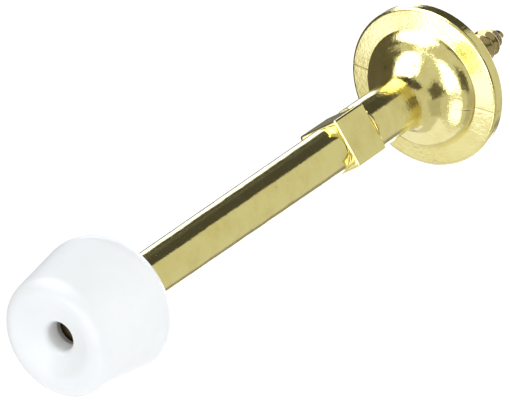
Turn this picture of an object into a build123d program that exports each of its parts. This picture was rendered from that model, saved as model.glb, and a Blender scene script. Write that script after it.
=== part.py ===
"""Rigid wall door stop: a die-cast rose and shaft, a cast-in wood screw and a push-on rubber tip.

The axis runs along Y. The wall is the plane Y = 0, the screw goes into it along +Y and the
stop stands out along -Y. A station is a distance from the wall towards the rubber tip, so it
is minus the Y coordinate. One corner of the square spanner collar points up, along +Z.
"""

from build123d import *
import os

# Rose, the round plate that sits against the wall
rose_radius = 12.7
rose_rim_height = 2.15
rose_back_edge_round = 0.3
rose_front_edge_round = 0.55
rose_face_rise = 0.45

# Raised boss between the rose and the neck
boss_root_radius = 9.45
boss_shoulder_radius = 8.94
boss_shoulder_rise = 1.4
boss_crown_rise = 2.2
boss_root_round = 0.15
boss_shoulder_round = 3.0
neck_root_round = 5.6

# Neck, square spanner collar and tapered shaft
neck_radius = 4.0
collar_start = 20.6
collar_length = 7.3
collar_across_flats = 7.6
collar_edge_round = 0.45
relief_radius = 3.5
relief_length = 0.5
relief_round = 0.5
shaft_start_radius = 3.6
shaft_end_radius = 3.25
shaft_shoulder = 82.0
shaft_shoulder_round = 0.3

# Spigot that carries the rubber tip
spigot_radius = 2.4
spigot_length = 8.7
spigot_end_round = 0.5

# Rubber tip
tip_back = 79.4
tip_front = 95.25
tip_back_corner_radius = 10.95
tip_front_corner_radius = 8.45
tip_back_round = 4.4
tip_front_round = 2.2
tip_face_radius = 5.6
tip_dish_depth = 1.5
tip_hole_radius = 2.1
tip_hole_round = 1.0
socket_clearance = 0.05
spigot_end_gap = 0.4

# Wood screw, cast into the back of the rose
screw_reach = 21.3
screw_point_length = 5.2
screw_plain_length = 1.6
screw_shank_radius = 1.8
screw_core_radius = 1.7
thread_radius = 2.4
thread_pitch = 1.9
thread_crest_width = 0.2
thread_root_width = 1.2
anchor_radius = 2.3
anchor_depth = 9.0
anchor_head_length = 2.5
anchor_chamfer = 0.6

# Worked out from the sizes above
boss_root_station = rose_rim_height + rose_face_rise
boss_station = boss_root_station + boss_shoulder_rise
crown_station = boss_station + boss_crown_rise
collar_end = collar_start + collar_length
relief_end = collar_end + relief_length
spigot_end = shaft_shoulder + spigot_length
bore_radius = spigot_radius + socket_clearance
bore_end = spigot_end + spigot_end_gap
seat_station = shaft_shoulder + socket_clearance


def turned_section(corners):
    """Closed half section in the XY plane, from (radius, station, corner round) triples."""
    points = [(radius, -station) for radius, station, _ in corners]
    rounds = [corner_round for _, _, corner_round in corners]
    with BuildSketch(Plane.XY) as section:
        with BuildLine():
            FilletPolyline(*points, radius=rounds, close=True)
        make_face()
    return section.sketch


def shaft_radius_at(station):
    """Radius of the tapered shaft at a station between the relief and the shoulder."""
    share = (station - relief_end) / (shaft_shoulder - relief_end)
    return shaft_start_radius + share * (shaft_end_radius - shaft_start_radius)


# The screw's hidden part: a shank with a swelled head that the casting grips
anchor_corners = [
    (0, anchor_depth, 0),
    (anchor_radius - anchor_chamfer, anchor_depth, 0),
    (anchor_radius, anchor_depth - anchor_chamfer, 0),
    (anchor_radius, anchor_depth - anchor_head_length + anchor_chamfer, 0),
    (screw_shank_radius, anchor_depth - anchor_head_length, 0),
]

# Casting in one piece: rose, boss, neck, collar, shaft and spigot, around the screw's shank
with BuildPart() as stop_body:
    revolve(
        turned_section(
            [
                (0, 0, 0),
                (rose_radius, 0, rose_back_edge_round),
                (rose_radius, rose_rim_height, rose_front_edge_round),
                (boss_root_radius, boss_root_station, boss_root_round),
                (boss_shoulder_radius, boss_station, boss_shoulder_round),
                (neck_radius, crown_station, neck_root_round),
                (neck_radius, collar_start, 0),
                (relief_radius, collar_start, 0),
                (relief_radius, collar_end, 0),
                (shaft_start_radius, relief_end, relief_round),
                (shaft_end_radius, shaft_shoulder, shaft_shoulder_round),
                (spigot_radius, shaft_shoulder, 0),
                (spigot_radius, spigot_end, spigot_end_round),
                (0, spigot_end, 0),
            ]
        ),
        axis=Axis.Y,
    )
    collar_plane = Plane(origin=(0, -collar_start, 0), x_dir=(1, 0, 1), z_dir=(0, -1, 0))
    with BuildSketch(collar_plane):
        RectangleRounded(collar_across_flats, collar_across_flats, collar_edge_round)
    extrude(amount=collar_length)
    revolve(
        turned_section([*anchor_corners, (screw_shank_radius, 0, 0), (0, 0, 0)]),
        axis=Axis.Y,
        mode=Mode.SUBTRACT,
    )

# Wood screw: anchor head and shank in the casting, threads and point behind the wall plane
point_base = screw_point_length - screw_reach
with BuildPart() as wood_screw:
    revolve(
        turned_section(
            [
                *anchor_corners,
                (screw_shank_radius, -screw_plain_length, 0),
                (screw_core_radius, -screw_plain_length - thread_crest_width, 0),
                (screw_core_radius, point_base, 0),
                (0, -screw_reach, 0),
            ]
        ),
        axis=Axis.Y,
    )
    crest = -screw_plain_length - thread_pitch
    while crest > thread_pitch - screw_reach:
        slimness = min(1.0, (crest + screw_reach) / screw_point_length)
        core = screw_core_radius * slimness
        outer = thread_radius * slimness
        revolve(
            turned_section(
                [
                    (0, crest + thread_root_width / 2, 0),
                    (core, crest + thread_root_width / 2, 0),
                    (outer, crest + thread_crest_width / 2, 0),
                    (outer, crest - thread_crest_width / 2, 0),
                    (core, crest - thread_root_width / 2, 0),
                    (0, crest - thread_root_width / 2, 0),
                ]
            ),
            axis=Axis.Y,
        )
        crest -= thread_pitch

# Rubber tip: truncated cone with a dished face, bored to slide over the shaft end and spigot
mouth_radius = shaft_radius_at(tip_back) + socket_clearance
seat_radius = shaft_end_radius + socket_clearance
with BuildPart() as rubber_tip:
    revolve(
        turned_section(
            [
                (mouth_radius, tip_back, 0),
                (tip_back_corner_radius, tip_back, tip_back_round),
                (tip_front_corner_radius, tip_front, tip_front_round),
                (tip_face_radius, tip_front, 0),
                (tip_hole_radius, tip_front - tip_dish_depth, tip_hole_round),
                (tip_hole_radius, bore_end, 0),
                (bore_radius, bore_end, 0),
                (bore_radius, seat_station, 0),
                (seat_radius, seat_station, 0),
            ]
        ),
        axis=Axis.Y,
    )

stop_body.part.label = "stop_body"
wood_screw.part.label = "wood_screw"
rubber_tip.part.label = "rubber_tip"

os.makedirs("parts", exist_ok=True)
export_step(stop_body.part, "parts/stop_body.step")
export_step(wood_screw.part, "parts/wood_screw.step")
export_step(rubber_tip.part, "parts/rubber_tip.step")
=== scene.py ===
"""Looks for the rigid wall door stop: plated casting, wood screw and white rubber tip.

The stop's axis runs along Y, with the wall at Y = 0. A station is a distance from the wall towards
the rubber tip, so it is minus the Y coordinate. Shapes are worked out in millimetres.
"""
import math

import bpy
from mathutils import Matrix, Vector


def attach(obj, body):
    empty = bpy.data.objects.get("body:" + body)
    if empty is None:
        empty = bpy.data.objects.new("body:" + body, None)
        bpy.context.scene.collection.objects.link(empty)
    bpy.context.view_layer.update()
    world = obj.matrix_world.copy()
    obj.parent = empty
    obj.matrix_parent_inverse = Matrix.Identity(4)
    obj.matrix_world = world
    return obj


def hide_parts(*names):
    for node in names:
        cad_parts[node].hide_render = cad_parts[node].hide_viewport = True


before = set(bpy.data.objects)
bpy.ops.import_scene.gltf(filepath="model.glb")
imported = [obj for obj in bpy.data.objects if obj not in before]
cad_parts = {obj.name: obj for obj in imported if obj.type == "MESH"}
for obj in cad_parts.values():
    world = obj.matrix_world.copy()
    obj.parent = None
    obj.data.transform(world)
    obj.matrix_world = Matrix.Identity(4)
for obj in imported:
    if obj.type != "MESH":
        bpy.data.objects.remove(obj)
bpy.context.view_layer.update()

MM = 0.001

# --- Sizes in millimetres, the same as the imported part's --------------------------------------
ROSE_RADIUS = 12.7
ROSE_RIM_HEIGHT = 2.15
ROSE_BACK_ROUND = 0.3
ROSE_FRONT_ROUND = 0.55
FACE_STATION = 2.6
BOSS_ROOT_RADIUS = 9.45
BOSS_ROOT_ROUND = 0.15
BOSS_SHOULDER_RADIUS = 8.94
BOSS_SHOULDER_ROUND = 3.0
BOSS_STATION = 4.0
CROWN_STATION = 6.2
NECK_RADIUS = 4.0
NECK_ROOT_ROUND = 5.6
COLLAR_START = 20.6
COLLAR_END = 27.9
COLLAR_HALF = 3.8
COLLAR_EDGE_ROUND = 0.45
RELIEF_RADIUS = 3.5
RELIEF_END = 28.4
RELIEF_ROUND = 0.5
SHAFT_START_RADIUS = 3.6
SHAFT_END_RADIUS = 3.25
SHAFT_SHOULDER = 82.0
SHAFT_SHOULDER_ROUND = 0.3
SPIGOT_RADIUS = 2.4
SPIGOT_END = 90.7
SPIGOT_END_ROUND = 0.5
TIP_BACK = 79.4
TIP_FRONT = 95.25
TIP_BACK_RADIUS = 10.95
TIP_FRONT_RADIUS = 8.45
TIP_BACK_ROUND = 4.4
TIP_FRONT_ROUND = 2.2
TIP_FACE_RADIUS = 5.6
TIP_DISH_DEPTH = 1.5
TIP_HOLE_RADIUS = 2.1
TIP_HOLE_ROUND = 1.0
SOCKET_CLEARANCE = 0.05
SPIGOT_END_GAP = 0.4
SHANK_RADIUS = 1.8
PLAIN_LENGTH = 1.6
ANCHOR_RADIUS = 2.3
ANCHOR_DEPTH = 9.0
ANCHOR_HEAD_LENGTH = 2.5
ANCHOR_CHAMFER = 0.6
SCREW_REACH = 21.3
SCREW_POINT = 5.2
CORE_RADIUS = 1.7
THREAD_RADIUS = 2.4
THREAD_PITCH = 1.9

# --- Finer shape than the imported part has, in millimetres and degrees --------------------------
SEAM_ANGLES = (-97.0, 85.0)
SEAM_DEPTH = 0.06
SEAM_HALF_WIDTH = 0.14
SEAM_INNER_RADIUS = 7.5
SEAM_FIRST_STATION = 0.4
COLLAR_BACK_ROUND = 0.3
COLLAR_FACE_EDGE_ROUND = 0.35
BEVEL_DEPTH = 0.12
BEVEL_WIDTH = 0.3
TIP_SOCKET_RADIUS = 3.33
TIP_DISH_ROUND = 4.0
THREAD_START_LENGTH = 1.5
THREAD_CREST_HALF = 0.05
THREAD_FLANK = 0.3
POINT_FULLNESS = 0.75

# Two rings this far apart, rather than one, keep the shading of a corner sharp
SHARP = 0.02

# The screw's hidden end, a shank with a swelled head, as (radius, station, round) corners
ANCHOR_CORNERS = [
    (0, ANCHOR_DEPTH, 0),
    (ANCHOR_RADIUS - ANCHOR_CHAMFER, ANCHOR_DEPTH, 0),
    (ANCHOR_RADIUS, ANCHOR_DEPTH - ANCHOR_CHAMFER, 0),
    (ANCHOR_RADIUS, ANCHOR_DEPTH - ANCHOR_HEAD_LENGTH + ANCHOR_CHAMFER, 0),
    (SHANK_RADIUS, ANCHOR_DEPTH - ANCHOR_HEAD_LENGTH, 0),
]


# --- Outlines and meshes ----------------------------------------------------------------------
def outline(corners, arc_step=4.0, run_step=1.5):
    """Points (radius, station) along a path of (radius, station, round) corners.

    Arcs are divided every arc_step degrees and straight runs every run_step millimetres.
    """
    points = [Vector(corners[0][:2])]
    for i in range(1, len(corners) - 1):
        before, corner, after = (Vector(corners[j][:2]) for j in (i - 1, i, i + 1))
        size = corners[i][2]
        if size == 0:
            run_to(points, corner, run_step)
            continue
        a = (before - corner).normalized()
        b = (after - corner).normalized()
        half = math.acos(max(-1.0, min(1.0, a.dot(b)))) / 2
        start = corner + a * size / math.tan(half)
        centre = corner + (a + b).normalized() * size / math.sin(half)
        sweep = math.pi - 2 * half
        steps = max(2, math.ceil(math.degrees(sweep) / arc_step))
        run_to(points, start, run_step)
        first = start - centre
        turn = 1 if first.cross(-a) > 0 else -1
        for k in range(1, steps + 1):
            angle = turn * sweep * k / steps
            points.append(centre + Matrix.Rotation(angle, 2) @ first)
    run_to(points, Vector(corners[-1][:2]), run_step)
    return points


def run_to(points, target, step):
    """Adds points from the last one to target, no further apart than step."""
    start = points[-1]
    count = max(1, math.ceil((target - start).length / step))
    for k in range(1, count + 1):
        points.append(start.lerp(target, k / count))


def skin(name, rings, closed_path=False):
    """Mesh from rings of equal length; a ring of one point is a pole."""
    verts, faces, starts = [], [], []
    for row in rings:
        starts.append(len(verts))
        verts.extend(row)
    pairs = list(zip(range(len(rings) - 1), range(1, len(rings))))
    if closed_path:
        pairs.append((len(rings) - 1, 0))
    for low, high in pairs:
        n, m = len(rings[low]), len(rings[high])
        count = max(n, m)
        for k in range(count):
            j = (k + 1) % count
            a, b = starts[low] + k % n, starts[low] + j % n
            c, d = starts[high] + j % m, starts[high] + k % m
            face = [a, b, c, d]
            if n == 1:
                face = [a, c, d]
            if m == 1:
                face = [a, b, c]
            faces.append(face)
    mesh = bpy.data.meshes.new(name)
    mesh.from_pydata([tuple(v) for v in verts], [], faces)
    mesh.validate()
    piece = bpy.data.objects.new(name, mesh)
    bpy.context.scene.collection.objects.link(piece)
    for polygon in mesh.polygons:
        polygon.use_smooth = True
    return piece


def face_outwards(piece):
    """Turns the whole skin right side out, by the sign of its volume."""
    mesh = piece.data
    volume = 0.0
    for polygon in mesh.polygons:
        p = [mesh.vertices[i].co for i in polygon.vertices]
        for k in range(1, len(p) - 1):
            volume += p[0].dot(p[k].cross(p[k + 1]))
    if volume < 0:
        mesh.flip_normals()


def ring(radius_at, station, angles):
    """Ring about the stop's axis; radius_at gives the radius in mm at an angle from +Z towards +X."""
    y = -station * MM
    return [(radius_at(a) * math.sin(a) * MM, y, radius_at(a) * math.cos(a) * MM) for a in angles]


def even_angles(count):
    """Angles in radians that divide a full turn evenly."""
    return [2 * math.pi * k / count for k in range(count)]


# --- Casting ----------------------------------------------------------------------------------
def casting_angles():
    """Angles round the casting, closer together at the collar's corners and the mould seams."""
    angles = {round(1.5 * k, 3) for k in range(240)}
    for seam in SEAM_ANGLES:
        angles.update(round((seam + 0.25 * k) % 360, 3) for k in range(-12, 13))
    for corner in (0, 90, 180, 270):
        angles.update(round((corner + 0.5 * k) % 360, 3) for k in range(-10, 11))
    return [math.radians(a) for a in sorted(angles)]


def collar_radius(angle, half, edge):
    """Polar radius of the rounded square whose corners lie on the Z and X axes."""
    from_flat = (math.degrees(angle) - 45) % 90
    from_flat = math.radians(from_flat if from_flat <= 45 else 90 - from_flat)
    arc_centre = half - edge
    flat = half / math.cos(from_flat)
    if half * math.tan(from_flat) <= arc_centre:
        return flat
    toward = arc_centre * (math.cos(from_flat) + math.sin(from_flat))
    across = arc_centre * (math.cos(from_flat) - math.sin(from_flat))
    return toward + math.sqrt(max(0.0, edge**2 - across**2))


def seam_depth(angle, radius):
    """Depth of the fine line that the mould's two halves leave across the rose."""
    depth = 0.0
    for seam in SEAM_ANGLES:
        away = math.remainder(angle - math.radians(seam), 2 * math.pi) * radius / SEAM_HALF_WIDTH
        depth += SEAM_DEPTH * math.exp(-away * away)
    return depth


def round_rows(points, angles):
    """Rings of the casting's turned lengths, sunk a little along the mould seams over the rose."""
    rows = []
    for i, (radius, station) in enumerate(points):
        if radius < 1e-6:
            rows.append([(0.0, -station * MM, 0.0)])
            continue
        tangent = (points[min(i + 1, len(points) - 1)] - points[max(i - 1, 0)]).normalized()
        has_seam = radius > SEAM_INNER_RADIUS and station > SEAM_FIRST_STATION
        row = []
        for a in angles:
            sunk = seam_depth(a, radius) if has_seam else 0.0
            r = radius - sunk * tangent.y
            s = station + sunk * tangent.x
            row.append((r * math.sin(a) * MM, -s * MM, r * math.cos(a) * MM))
        rows.append(row)
    return rows


def end_face_row(core, half, share, station, angles):
    """Ring on the collar's end face, a share of the way from the round core to the square edge."""

    def radius_at(a):
        return core + share * (collar_radius(a, half, COLLAR_FACE_EDGE_ROUND) - core)

    return ring(radius_at, station, angles)


def flats_row(half, station, angles):
    """Ring round the collar's four flats."""

    def radius_at(a):
        return max(RELIEF_RADIUS, collar_radius(a, half, COLLAR_EDGE_ROUND))

    return ring(radius_at, station, angles)


def collar_rows(angles):
    """Rings of the square collar: back face, rounded back edge, flats, front bevel, front face."""
    face_count, round_count, flat_count = 4, 6, 7
    back_half = COLLAR_HALF - COLLAR_BACK_ROUND
    front_half = COLLAR_HALF - BEVEL_WIDTH
    flat_start = COLLAR_START + COLLAR_BACK_ROUND
    bevel_start = COLLAR_END - BEVEL_DEPTH
    flat_length = bevel_start - 0.1 - flat_start
    rows = []
    for k in range(1, face_count + 1):
        rows.append(end_face_row(NECK_RADIUS, back_half, k / face_count, COLLAR_START, angles))
    for k in range(1, round_count + 1):
        turn = math.pi / 2 * k / round_count
        half = back_half + COLLAR_BACK_ROUND * math.sin(turn)
        rows.append(flats_row(half, flat_start - COLLAR_BACK_ROUND * math.cos(turn), angles))
    for k in range(1, flat_count + 1):
        rows.append(flats_row(COLLAR_HALF, flat_start + flat_length * k / flat_count, angles))
    # The bevel: two close rings at its edge, one on its slope and one at its foot
    for inset, station in (
        (0.0, bevel_start - 0.03),
        (0.03, bevel_start + 0.01),
        (BEVEL_WIDTH * 0.55, COLLAR_END - BEVEL_DEPTH * 0.45),
        (BEVEL_WIDTH, COLLAR_END),
    ):
        rows.append(flats_row(COLLAR_HALF - inset, station, angles))
    for k in range(1, face_count + 1):
        share = 1 - k / face_count
        rows.append(end_face_row(RELIEF_RADIUS, front_half, share, COLLAR_END, angles))
    return rows


def make_casting():
    """Rose, boss, neck, collar, shaft and spigot in one skin, with the socket round the screw."""
    angles = casting_angles()
    behind_collar = [
        *ANCHOR_CORNERS,
        (SHANK_RADIUS, 0, 0),
        (ROSE_RADIUS, 0, ROSE_BACK_ROUND),
        (ROSE_RADIUS, ROSE_RIM_HEIGHT, ROSE_FRONT_ROUND),
        (BOSS_ROOT_RADIUS, FACE_STATION, BOSS_ROOT_ROUND),
        (BOSS_SHOULDER_RADIUS, BOSS_STATION, BOSS_SHOULDER_ROUND),
        (NECK_RADIUS, CROWN_STATION, NECK_ROOT_ROUND),
        (NECK_RADIUS, COLLAR_START - SHARP, 0),
    ]
    beyond_collar = [
        (RELIEF_RADIUS, COLLAR_END + SHARP, 0),
        (SHAFT_START_RADIUS, RELIEF_END, RELIEF_ROUND),
        (SHAFT_END_RADIUS, SHAFT_SHOULDER, SHAFT_SHOULDER_ROUND),
        (SPIGOT_RADIUS, SHAFT_SHOULDER, 0),
        (SPIGOT_RADIUS, SPIGOT_END, SPIGOT_END_ROUND),
        (0, SPIGOT_END, 0),
    ]
    rings = round_rows(outline(behind_collar, run_step=0.7), angles)
    rings += collar_rows(angles)
    rings += round_rows(outline(beyond_collar, run_step=0.9), angles)
    piece = skin("casting", rings)
    face_outwards(piece)
    return piece


# --- Rubber tip -------------------------------------------------------------------------------
def make_tip():
    """Truncated cone with a dished face, bored for the shaft's end and the spigot."""
    angles = even_angles(256)
    seat = SHAFT_SHOULDER + SOCKET_CLEARANCE
    bore_end = SPIGOT_END + SPIGOT_END_GAP
    bore_radius = SPIGOT_RADIUS + SOCKET_CLEARANCE
    corners = [
        (TIP_SOCKET_RADIUS, seat, 0),
        (TIP_SOCKET_RADIUS, TIP_BACK, 0),
        (TIP_BACK_RADIUS, TIP_BACK, TIP_BACK_ROUND),
        (TIP_FRONT_RADIUS, TIP_FRONT, TIP_FRONT_ROUND),
        (TIP_FACE_RADIUS, TIP_FRONT, TIP_DISH_ROUND),
        (TIP_HOLE_RADIUS, TIP_FRONT - TIP_DISH_DEPTH, TIP_HOLE_ROUND),
        (TIP_HOLE_RADIUS, bore_end, 0),
        (bore_radius, bore_end, 0),
        (bore_radius, seat, 0),
    ]
    rings = [ring(lambda a: r, s, angles) for r, s in outline(corners, run_step=0.6)]
    piece = skin("tip", rings, closed_path=True)
    face_outwards(piece)
    return piece


# --- Screw ------------------------------------------------------------------------------------
def thread_radius_at(depth, angle):
    """Radius of the threaded length at a depth behind the wall: a helical ridge on a slim core."""
    phase = (depth / THREAD_PITCH - angle / (2 * math.pi)) % 1.0
    ridge = max(0.0, 1 - max(0.0, abs(phase - 0.5) - THREAD_CREST_HALF) / THREAD_FLANK)
    start = min(1.0, (depth - PLAIN_LENGTH) / THREAD_START_LENGTH)
    slim = min(1.0, (SCREW_REACH - depth) / SCREW_POINT) ** POINT_FULLNESS
    core = SHANK_RADIUS + (CORE_RADIUS - SHANK_RADIUS) * start
    return max(0.02, slim * (core + (THREAD_RADIUS - core) * start * ridge))


def make_screw():
    """Wood screw: anchor head, plain shank, a true helical thread and the point."""
    angles = even_angles(72)
    rings = [[(0.0, -ANCHOR_DEPTH * MM, 0.0)]]
    for radius, station in outline([*ANCHOR_CORNERS, (SHANK_RADIUS, -PLAIN_LENGTH, 0)])[1:]:
        rings.append(ring(lambda a: radius, station, angles))
    rows = 400
    for k in range(1, rows):
        depth = PLAIN_LENGTH + (SCREW_REACH - PLAIN_LENGTH) * k / rows
        rings.append(ring(lambda a: thread_radius_at(depth, a), -depth, angles))
    rings.append([(0.0, SCREW_REACH * MM, 0.0)])
    piece = skin("screw", rings)
    face_outwards(piece)
    return piece


# --- Materials --------------------------------------------------------------------------------
# Colours, and places along Y in metres, that both platings share
# The spigot's dark colour, from just past the shaft's shoulder on, is painted shade for the bottom of
# the rubber tip's hole
HOLE_SHADE_COLOUR = (0.16, 0.12, 0.06)
HOLE_SHADE_FROM = -(SHAFT_SHOULDER + 0.5) * MM
CALM_BEYOND = -0.022
ROUGH_WITHIN = -0.010
PIT_DEPTH = 0.00002


def new_material(name):
    """A new material, its node tree and its shader."""
    material = bpy.data.materials.new(name)
    material.use_nodes = True
    shader = material.node_tree.nodes["Principled BSDF"]
    return material, material.node_tree, shader


def noise(tree, place, scale, detail=2.0, rough=0.5):
    """Noise value over the piece's own coordinates; scale is in features per metre."""
    node = tree.nodes.new("ShaderNodeTexNoise")
    tree.links.new(place, node.inputs["Vector"])
    node.inputs["Scale"].default_value = scale
    node.inputs["Detail"].default_value = detail
    node.inputs["Roughness"].default_value = rough
    return node.outputs["Fac"]


def remap(tree, value, low, high, to_low, to_high):
    """Value brought from the range low..high to the range to_low..to_high, and held there."""
    node = tree.nodes.new("ShaderNodeMapRange")
    tree.links.new(value, node.inputs["Value"])
    node.inputs["From Min"].default_value = low
    node.inputs["From Max"].default_value = high
    node.inputs["To Min"].default_value = to_low
    node.inputs["To Max"].default_value = to_high
    return node.outputs["Result"]


def blend(tree, share, a, b):
    """Colour a where share is 0, colour b where it is 1; each is a tuple or a socket."""
    node = tree.nodes.new("ShaderNodeMix")
    node.data_type = "RGBA"
    tree.links.new(share, node.inputs["Factor"])
    for socket, colour in ((node.inputs[6], a), (node.inputs[7], b)):
        if isinstance(colour, tuple):
            socket.default_value = (*colour, 1)
        else:
            tree.links.new(colour, socket)
    return node.outputs[2]


def dent(tree, height, depth, under=None):
    """Bump of the given depth in metres, on top of an earlier bump."""
    node = tree.nodes.new("ShaderNodeBump")
    tree.links.new(height, node.inputs["Height"])
    node.inputs["Distance"].default_value = depth
    if under is not None:
        tree.links.new(under, node.inputs["Normal"])
    return node.outputs["Normal"]


def specks(tree, place, scale, size):
    """1 inside sparse round specks, 0 outside; only about one cell in six has a speck."""
    node = tree.nodes.new("ShaderNodeTexVoronoi")
    tree.links.new(place, node.inputs["Vector"])
    node.inputs["Scale"].default_value = scale
    split = tree.nodes.new("ShaderNodeSeparateColor")
    tree.links.new(node.outputs["Color"], split.inputs[0])
    chosen = remap(tree, split.outputs[0], 0.84, 0.85, 0.0, 1.0)
    inside = remap(tree, node.outputs["Distance"], size, size * 0.5, 0.0, 1.0)
    product = tree.nodes.new("ShaderNodeMath")
    product.operation = "MULTIPLY"
    tree.links.new(chosen, product.inputs[0])
    tree.links.new(inside, product.inputs[1])
    return product.outputs[0]


def plating(name, bright, dull, peel_depth, speck_colour):
    """Thin plating over a cast or rolled surface: orange peel, waves, pits and dull patches.

    The spigot, hidden in the tip, is coloured dark as painted shade for the bottom of the tip's hole.
    The grain is weaker on the shaft.
    """
    material, tree, shader = new_material(name)
    place = tree.nodes.new("ShaderNodeTexCoord").outputs["Object"]
    shader.inputs["Metallic"].default_value = 1.0
    patches = remap(tree, noise(tree, place, 260, 4.0, 0.6), 0.45, 0.72, 0.0, 1.0)
    pits = specks(tree, place, 420, 0.12)
    colour = blend(tree, patches, bright, dull)
    colour = blend(tree, pits, colour, speck_colour)
    along = tree.nodes.new("ShaderNodeSeparateXYZ")
    tree.links.new(place, along.inputs[0])
    # Painted shade: the spigot is coloured dark so the bottom of the tip's hole looks shaded
    hole_shade = remap(tree, along.outputs["Y"], HOLE_SHADE_FROM, HOLE_SHADE_FROM - 0.001, 0.0, 1.0)
    colour = blend(tree, hole_shade, colour, HOLE_SHADE_COLOUR)
    tree.links.new(colour, shader.inputs["Base Color"])
    rough = remap(tree, noise(tree, place, 900, 3.0, 0.6), 0.3, 0.75, 0.07, 0.17)
    tree.links.new(rough, shader.inputs["Roughness"])
    calm = remap(tree, along.outputs["Y"], CALM_BEYOND, ROUGH_WITHIN, 0.35, 1.0)
    grain = tree.nodes.new("ShaderNodeMath")
    grain.operation = "MULTIPLY"
    tree.links.new(noise(tree, place, 1700, 3.0, 0.6), grain.inputs[0])
    tree.links.new(calm, grain.inputs[1])
    peel = dent(tree, grain.outputs[0], peel_depth)
    wave = dent(tree, noise(tree, place, 230, 1.0, 0.4), peel_depth * 2, peel)
    tree.links.new(dent(tree, pits, -PIT_DEPTH, wave), shader.inputs["Normal"])
    return material


def rubber():
    """Moulded white rubber: satin skin, faint mottling and dust specks."""
    material, tree, shader = new_material("white_rubber")
    place = tree.nodes.new("ShaderNodeTexCoord").outputs["Object"]
    mottle = remap(tree, noise(tree, place, 180, 4.0, 0.6), 0.35, 0.7, 0.0, 1.0)
    colour = blend(tree, mottle, (0.915, 0.925, 0.93), (0.885, 0.898, 0.905))
    colour = blend(tree, specks(tree, place, 650, 0.08), colour, (0.84, 0.85, 0.85))
    tree.links.new(colour, shader.inputs["Base Color"])
    rough = remap(tree, noise(tree, place, 700, 3.0, 0.6), 0.3, 0.75, 0.30, 0.42)
    tree.links.new(rough, shader.inputs["Roughness"])
    grain = dent(tree, noise(tree, place, 2600, 2.0, 0.6), 0.000006)
    wave = dent(tree, noise(tree, place, 160, 2.0, 0.5), 0.00004, grain)
    tree.links.new(wave, shader.inputs["Normal"])
    return material


# --- Surroundings, lights and camera ----------------------------------------------------------
# What the gloss reflects, in degrees: azimuths from +Y towards +X, elevations, softness of the
# edge, then the colour of the light. A panel covers the ones before it where they cross.
BASE_LIGHT = (0.69, 0.695, 0.675)
PANELS = [
    ((-52, 7), (11, 82), 4, (0.075, 0.075, 0.075)),
    ((-48, -32), (22, 42), 6, (0.12, 0.12, 0.12)),
    ((7, 80), (50, 82), 6, (0.12, 0.11, 0.10)),
    ((-62, 4), (-62, 8), 5, (2.0, 2.1, 2.8)),
    ((-64, -24), (-64, -13), 5, (0.20, 0.19, 0.15)),
    ((9, 26), (-52, -31), 5, (0.30, 0.30, 0.30)),
    ((-155, -62), (18, 78), 5, (4.0, 4.1, 4.6)),
    ((-128, -50), (-52, 12), 6, (0.12, 0.11, 0.09)),
    ((-181, -100), (-64, -49), 4, (0.32, 0.31, 0.27)),
    ((-181, -132), (-50, -10), 6, (0.95, 0.96, 1.05)),
    ((80, 116), (-46, 6), 7, (0.52, 0.51, 0.48)),
    ((98, 140), (4, 40), 6, (0.14, 0.13, 0.11)),
    ((142, 164), (-42, -16), 6, (2.2, 2.3, 2.9)),
    ((150, 181), (-6, 18), 4, (4.0, 4.1, 4.6)),
    ((-200, -40), (-90, -58), 5, (1.0, 1.02, 1.2)),
    ((104, 181), (-90, -50), 6, (1.0, 1.02, 1.2)),
    ((-181, -153), (-16, 12), 4, (4.0, 4.1, 4.6)),
    ((-178, -138), (-31, -17), 5, (1.5, 1.6, 2.3)),
]

# Soft light on matt surfaces: brightest from the key's direction, dimmest from the side and behind
SOFT_KEY = (0.35, -0.15, 0.92)
SOFT_DIMMEST = (0.68, 0.695, 0.70)
SOFT_BRIGHTEST = (1.17, 1.185, 1.18)

# Floor in metres, and how much it glows of itself
FLOOR_HALF = 3.0
FLOOR_HEIGHT = -0.08
FLOOR_GLOW = 0.2

# Camera with a long lens, in millimetres and degrees. It looks at a target about half way along
# the stop, from an azimuth (from +Y towards +X) and an elevation, rolled about its line of sight
CAMERA_TARGET = (-0.2, -47.0, 0.2)
CAMERA_DISTANCE = 552.5
CAMERA_AZIMUTH = 150.6
CAMERA_ELEVATION = 32.5
CAMERA_ROLL = 9.2
CAMERA_LENS = 275.3
CAMERA_SENSOR = 36.0


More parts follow.
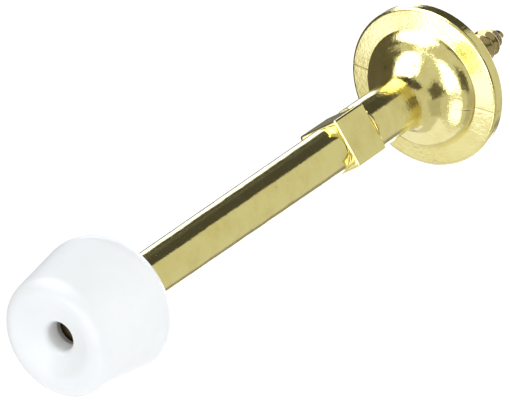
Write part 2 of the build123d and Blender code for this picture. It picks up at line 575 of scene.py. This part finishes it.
def make_world():
    """White for the camera, a panelled studio for gloss, and a soft key for matt surfaces."""
    world = bpy.data.worlds.new("studio")
    bpy.context.scene.world = world
    world.use_nodes = True
    world.cycles.sampling_method = "NONE"
    tree = world.node_tree
    background = tree.nodes["Background"]
    direction = tree.nodes.new("ShaderNodeTexCoord").outputs["Generated"]
    split = tree.nodes.new("ShaderNodeSeparateXYZ")
    tree.links.new(direction, split.inputs[0])

    def math_node(operation, *inputs):
        node = tree.nodes.new("ShaderNodeMath")
        node.operation = operation
        for socket, value in zip(node.inputs, inputs):
            if isinstance(value, (int, float)):
                socket.default_value = value
            else:
                tree.links.new(value, socket)
        return node.outputs[0]

    azimuth = math_node("ARCTAN2", split.outputs["X"], split.outputs["Y"])
    elevation = math_node("ARCSINE", split.outputs["Z"])

    def ramp(value, low, high):
        node = tree.nodes.new("ShaderNodeMapRange")
        node.interpolation_type = "SMOOTHSTEP"
        tree.links.new(value, node.inputs["Value"])
        node.inputs["From Min"].default_value = math.radians(low)
        node.inputs["From Max"].default_value = math.radians(high)
        return node.outputs["Result"]

    def window(value, low, high, soft):
        rise = ramp(value, low - soft / 2, low + soft / 2)
        fall = ramp(value, high + soft / 2, high - soft / 2)
        return math_node("MULTIPLY", rise, fall)

    colour = BASE_LIGHT
    for azimuths, elevations, softness, light in PANELS:
        across = window(azimuth, *azimuths, softness)
        along = window(elevation, *elevations, softness)
        colour = blend(tree, math_node("MULTIPLY", across, along), colour, light)
    facing = tree.nodes.new("ShaderNodeVectorMath")
    facing.operation = "DOT_PRODUCT"
    tree.links.new(direction, facing.inputs[0])
    facing.inputs[1].default_value = SOFT_KEY
    share = math_node("MAXIMUM", facing.outputs["Value"], 0.0)
    soft = blend(tree, share, SOFT_DIMMEST, SOFT_BRIGHTEST)
    path = tree.nodes.new("ShaderNodeLightPath")
    colour = blend(tree, path.outputs["Is Diffuse Ray"], colour, soft)
    colour = blend(tree, path.outputs["Is Camera Ray"], colour, (1.0, 1.0, 1.0))
    tree.links.new(colour, background.inputs["Color"])


def make_floor():
    """Plain pale floor under the stop, unseen by the gloss."""
    mesh = bpy.data.meshes.new("floor")
    corners = [
        (x * FLOOR_HALF, y * FLOOR_HALF, FLOOR_HEIGHT) for x, y in ((-1, -1), (1, -1), (1, 1), (-1, 1))
    ]
    mesh.from_pydata(corners, [], [(0, 1, 2, 3)])
    floor = bpy.data.objects.new("floor", mesh)
    bpy.context.scene.collection.objects.link(floor)
    material, _, shader = new_material("white_table")
    shader.inputs["Base Color"].default_value = (0.9, 0.9, 0.9, 1)
    shader.inputs["Roughness"].default_value = 0.9
    shader.inputs["Emission Color"].default_value = (1, 1, 1, 1)
    shader.inputs["Emission Strength"].default_value = FLOOR_GLOW
    mesh.materials.append(material)
    floor.visible_glossy = False


def make_camera():
    """Camera at the photograph's viewing angle."""
    camera = bpy.data.objects.new("camera", bpy.data.cameras.new("camera"))
    bpy.context.scene.collection.objects.link(camera)
    bpy.context.scene.camera = camera
    camera.data.lens = CAMERA_LENS
    camera.data.sensor_width = CAMERA_SENSOR
    camera.data.sensor_fit = "HORIZONTAL"
    azimuth = math.radians(CAMERA_AZIMUTH)
    elevation = math.radians(CAMERA_ELEVATION)
    level = math.cos(elevation)
    back = Vector((math.sin(azimuth) * level, math.cos(azimuth) * level, math.sin(elevation)))
    place = (Vector(CAMERA_TARGET) + back * CAMERA_DISTANCE) * MM
    aim = (-back).to_track_quat("-Z", "Y").to_matrix().to_4x4()
    roll = Matrix.Rotation(math.radians(CAMERA_ROLL), 4, "Z")
    camera.matrix_world = Matrix.Translation(place) @ aim @ roll


# --- The three pieces, their bodies and their finishes -----------------------------------------
casting = make_casting()
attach(casting, "stop")
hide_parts("stop_body")
casting.data.materials.append(
    plating(
        "brass_plating",
        bright=(0.88, 0.78, 0.32),
        dull=(0.80, 0.68, 0.25),
        peel_depth=0.000040,
        speck_colour=(0.30, 0.24, 0.10),
    )
)

screw = make_screw()
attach(screw, "stop")
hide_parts("wood_screw")
screw.data.materials.append(
    plating(
        "dull_plating",
        bright=(0.42, 0.33, 0.14),
        dull=(0.24, 0.18, 0.08),
        peel_depth=0.000016,
        speck_colour=(0.15, 0.12, 0.07),
    )
)

tip = make_tip()
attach(tip, "tip")
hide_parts("rubber_tip")
tip.data.materials.append(rubber())

make_floor()
make_world()
make_camera()
bpy.context.scene.view_settings.view_transform = "Standard"

bpy.context.view_layer.update()
